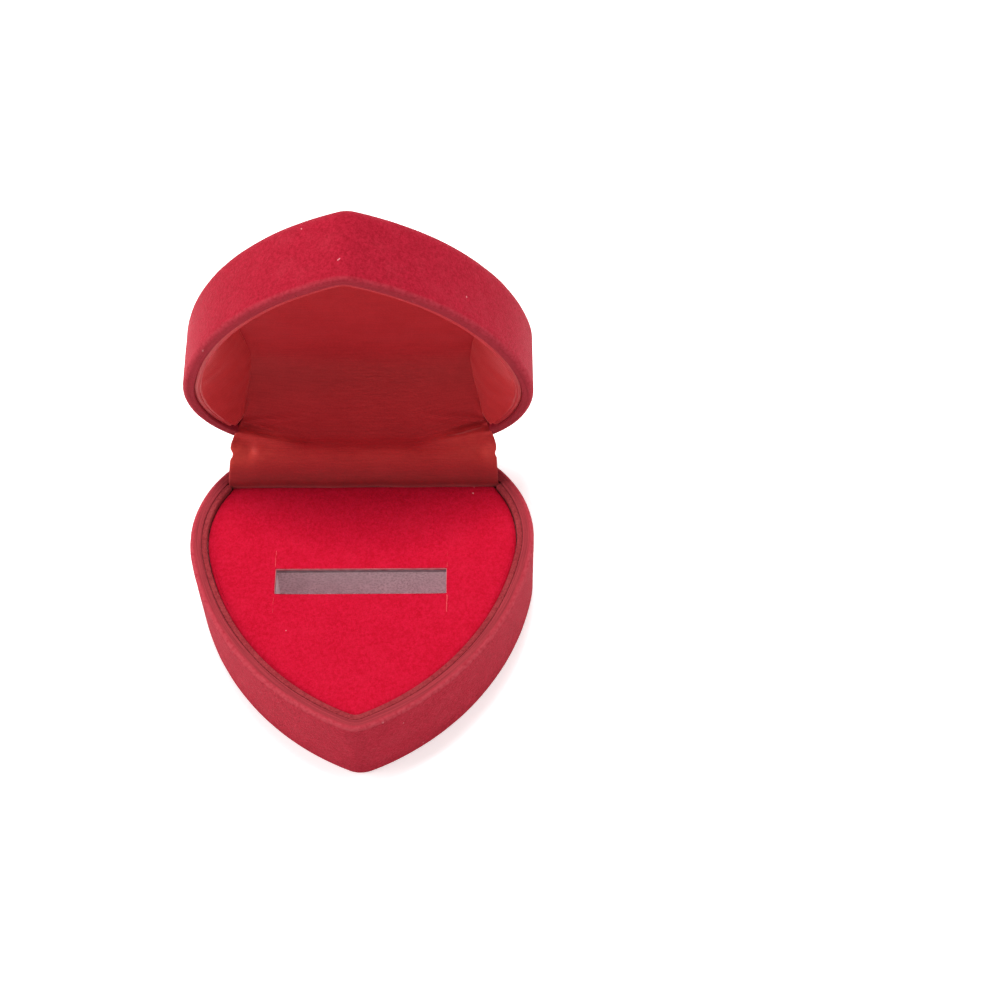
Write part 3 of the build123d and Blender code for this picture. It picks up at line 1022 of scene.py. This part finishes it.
def fold(spot, start, end, width, height):
    """A soft ridge that runs from start to end and fades towards its end."""
    along = np.array(end) - np.array(start)
    length = np.linalg.norm(along)
    along = along / length
    offset = np.array(spot) - np.array(start)
    t = float(offset @ along) / length
    if t < -0.1 or t > 1.15:
        return 0.0
    aside = float(offset @ np.array([-along[1], along[0]]))
    spread = width * (0.35 + 0.65 * max(t, 0))
    fade = max(0.0, min(1.0, (1.15 - t) / 0.5)) * min(1.0, (t + 0.1) / 0.15)
    return height * fade * bell(aside, 0, spread)


def satin_relief(x, row, marks, half):
    """Height of the satin off its plain surface: slack waves, and folds from the caught corners.

    Rows are counted from each bend: marks[3] is the ridge, marks[4] the slope's foot."""
    along = (row - marks[4]) * (0.19 if row < marks[4] else 0.25)
    waves = 0.10 * noise.noise(Vector((x / 6.0, along / 5.0, 0.4)))
    waves += 0.03 * noise.noise(Vector((x / 1.7, along / 2.5, 3.4)))
    near_ridge = 0.14 * bell(row, marks[3], 16)
    waves += near_ridge * noise.noise(Vector((x / 3.4, along / 1.6, 8.8)))
    rise = min(max((row - marks[1]) / (marks[3] - marks[1]), 0.0), 1.0)
    waves += 0.25 * sin(pi * rise) ** 2.2
    end = min(max(0.0, abs(x) - 14.6) / 4.15, 1.0)
    curl = 0.38 * end**2 - 0.50 * sin(pi * end) ** 2
    waves += curl * bell(row, marks[3] + 2, 9)
    # Folds fan out from each caught corner, deeper on the right
    deep, high = (0.75, 0.62) if x > 0 else (0.38, 0.45)
    caught = (17.2, 0.1)
    for start, end, width, height in (
        (caught, (8.5, 2.3), 0.7, 0.30),
        (caught, (11.6, -0.5), 0.40, 0.30),
        ((17.2, -0.7), (12.2, -1.5), 0.80, -deep),
        ((17.6, -2.0), (8.0, -3.0), 1.35, high),
        (caught, (15.4, 4.4), 0.6, 0.14),
    ):
        waves += fold((abs(x), along), start, end, width, height)
    if row > marks[4] + 4:
        edge = (half - abs(x)) / 1.6
        waves -= 0.05 * (1 - min(edge, 1.0)) ** 2
    return waves


def satin_painted_highlight(u, row, marks):
    """How much highlight is painted into the satin: along its bend over the hinge, most at its ends
    and strongest at the left end, and on the fold facets to either side past the ridge.
    """
    end = (0.50 if u > 0 else 1.20) * abs(u) ** 5
    bend = bell(row, marks[3] - 2, 7) * (0.22 + end)
    fan = bell(row, marks[3] + 12, 9) * min(max((abs(u) - 0.45) / 0.25, 0.0), 1.0)
    return min(bend + 0.32 * fan, 1.0)


def thicken(piece, thickness):
    """Give a sheet a thread's thickness, behind its shown face."""
    step = piece.modifiers.new("thickness", "SOLIDIFY")
    step.thickness = thickness * MM
    step.offset = -1
    settle(piece)


def side_panel(hand, name, node):
    """Loose satin from the rim down to the ceiling's straight edge, slightly puffed."""
    rim_z = 0.42
    tucked = 0.45
    rows, uv = [], []
    stations = np.linspace(back - 6.5, -8.6, 90)
    columns = 25
    for k, y in enumerate(stations, 1):
        rim_x = wall_x(y, liner_inner) + 0.05
        deep_x = min(panel_edge(y) - tucked, rim_x)
        deep_z = ceiling_depth(y) + 0.24
        room = (rim_x - deep_x) / 6
        for t in np.linspace(0, 1, columns):
            puff = 0.75 * sin(pi * t) ** 0.8
            puff += 0.16 * noise.noise(Vector((hand * y / 4.5, t * 1.6, 5.5)))
            puff += 0.06 * noise.noise(Vector((y / 1.6, t * 3.0, hand * 2.0)))
            x = rim_x + (deep_x - rim_x) * t - 0.75 * puff * room
            z = rim_z + (deep_z - rim_z) * t - 0.62 * puff * room
            rows.append((hand * x, y, z))
            uv.append((t * 9 * MM, k * 0.29 * MM))
    faces = skin_faces(len(stations), columns, closed_ring=False)
    if hand > 0:
        faces = [face[::-1] for face in faces]
    piece = new_piece(name, in_lid(rows), faces, satin_cloth, uv, sharp=80)
    # Painted light: the whole panel is lightened a little with the highlight colour, so it shows
    # lighter than the rest of the satin
    store(piece, "painted_light", [0.15] * len(rows))
    thicken(piece, satin_thickness)
    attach(piece, "lid")
    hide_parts(node)


# ---- hinge ----
def bowed_spring():
    """The bowed steel strip under the satin, from the base leaf to the lid leaf."""
    bends = [(-1.95, -7.0), (-1.95, -3.2), (-3.9, -0.9), (-2.7, 1.35), (-1.1, 2.15), (2.2, 2.6)]
    corners = [(hinge_y + y, seam + z) for y, z in bends]
    path = rounded_path(corners, [0.9] * 4, 0.2)
    ahead = np.gradient(path, axis=0)
    ahead /= np.linalg.norm(ahead, axis=1)[:, None]
    half, thick, edge = 4.0, 0.125, 0.1
    across = (-half, edge - half, half - edge, half)
    section = [(x, -thick) for x in across] + [(x, thick) for x in across[::-1]]
    points = []
    for (y, z), (ahead_y, ahead_z) in zip(path, ahead):
        for x, off in section:
            points.append((x, y - ahead_z * off, z + ahead_y * off))
    wide = len(section)
    faces = skin_faces(len(path), wide)
    faces.append(tuple(range(wide)))
    faces.append(tuple(range(len(points) - 1, len(points) - wide - 1, -1)))
    piece = new_piece("bowed_spring", in_base(points), faces, spring_steel, sharp=30)
    face_outwards(piece)
    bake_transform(piece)
    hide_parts("snap_spring")


# ---- studio ----
def studio():
    """White paper, an even pale surround, three softboxes and the camera, in metres."""
    reach = 3.0
    corners = [(-reach, -reach, 0), (reach, -reach, 0), (reach, reach, 0), (-reach, reach, 0)]
    mesh = bpy.data.meshes.new("floor")
    mesh.from_pydata(corners, [], [(0, 1, 2, 3)])
    floor = placed("floor", mesh)
    paper = Nodes("white_paper")
    paper.set(Base_Color=rgb(0.93, 0.93, 0.93), Roughness=0.9, Specular_IOR_Level=0.1)
    paper.set(Emission_Color=rgb(1.0, 1.0, 1.0), Emission_Strength=0.5)
    mesh.materials.append(paper.material)

    world = bpy.data.worlds.new("studio")
    world.use_nodes = True
    world.node_tree.nodes["Background"].inputs["Color"].default_value = rgb(1.0, 0.99, 0.98)
    world.node_tree.nodes["Background"].inputs["Strength"].default_value = 0.33
    bpy.context.scene.world = world

    def softbox(name, place, target, size, power):
        light = bpy.data.lights.new(name, "AREA")
        light.shape = "RECTANGLE"
        light.size, light.size_y = size
        light.energy = power
        lamp = placed(name, light)
        lamp.location = place
        lamp.rotation_euler = (Vector(target) - Vector(place)).to_track_quat("-Z", "Y").to_euler()

    # The key stands high behind the box, so that the ribbon shades the velvet below it
    softbox("key_softbox", (-0.02, 0.15, 0.74), (0, 0, 0.02), (0.16, 0.16), 5.3)
    softbox("left_softbox", (-0.66, -0.06, 0.30), (0, 0, 0.03), (0.40, 0.35), 3.2)
    softbox("right_softbox", (0.66, -0.04, 0.30), (0, 0, 0.03), (0.40, 0.35), 1.5)

    pitch = radians(90 - 57.57)
    yaw = radians(-0.36)
    camera_data = bpy.data.cameras.new("photo_camera")
    camera_data.sensor_width = 36
    camera_data.lens = 81.68
    camera_data.shift_x = -0.0294
    camera_data.shift_y = 0.0014
    camera_data.clip_start = 0.01
    camera = placed("photo_camera", camera_data)
    camera.location = (0.02158, -0.15623, 0.2813)
    camera.rotation_euler = (pitch, 0, yaw)
    bpy.context.scene.camera = camera
    bpy.context.scene.view_settings.view_transform = "Standard"


base_shell()
lid_shell()
beaded_border()
collar(
    "base_collar", base_floor, seam - 0.1, insert_back, in_base, False,
    rim_flock, "base", "base_liner",
)
collar(
    "lid_wall_satin", lid_height - lid_top, 0.38, lining_back, in_lid, True,
    satin_cloth, "lid", "lid_wall_lining",
)
insert_facing()
score_marks()
lining_sheet()
side_panel(-1, "left_satin_panel", "lid_side_panel_left")
side_panel(1, "right_satin_panel", "lid_side_panel_right")
bowed_spring()
for node, material in (
    ("ring_foam", grey_foam),
    ("insert_card", grey_board),
    ("lid_ceiling_card", grey_board),
    ("hinge_leaf_base", hinge_steel),
    ("hinge_leaf_lid", hinge_steel),
    ("hinge_pin", hinge_steel),
):
    part = frame["nodes"][node]
    part.data.materials.clear()
    part.data.materials.append(material)
studio()
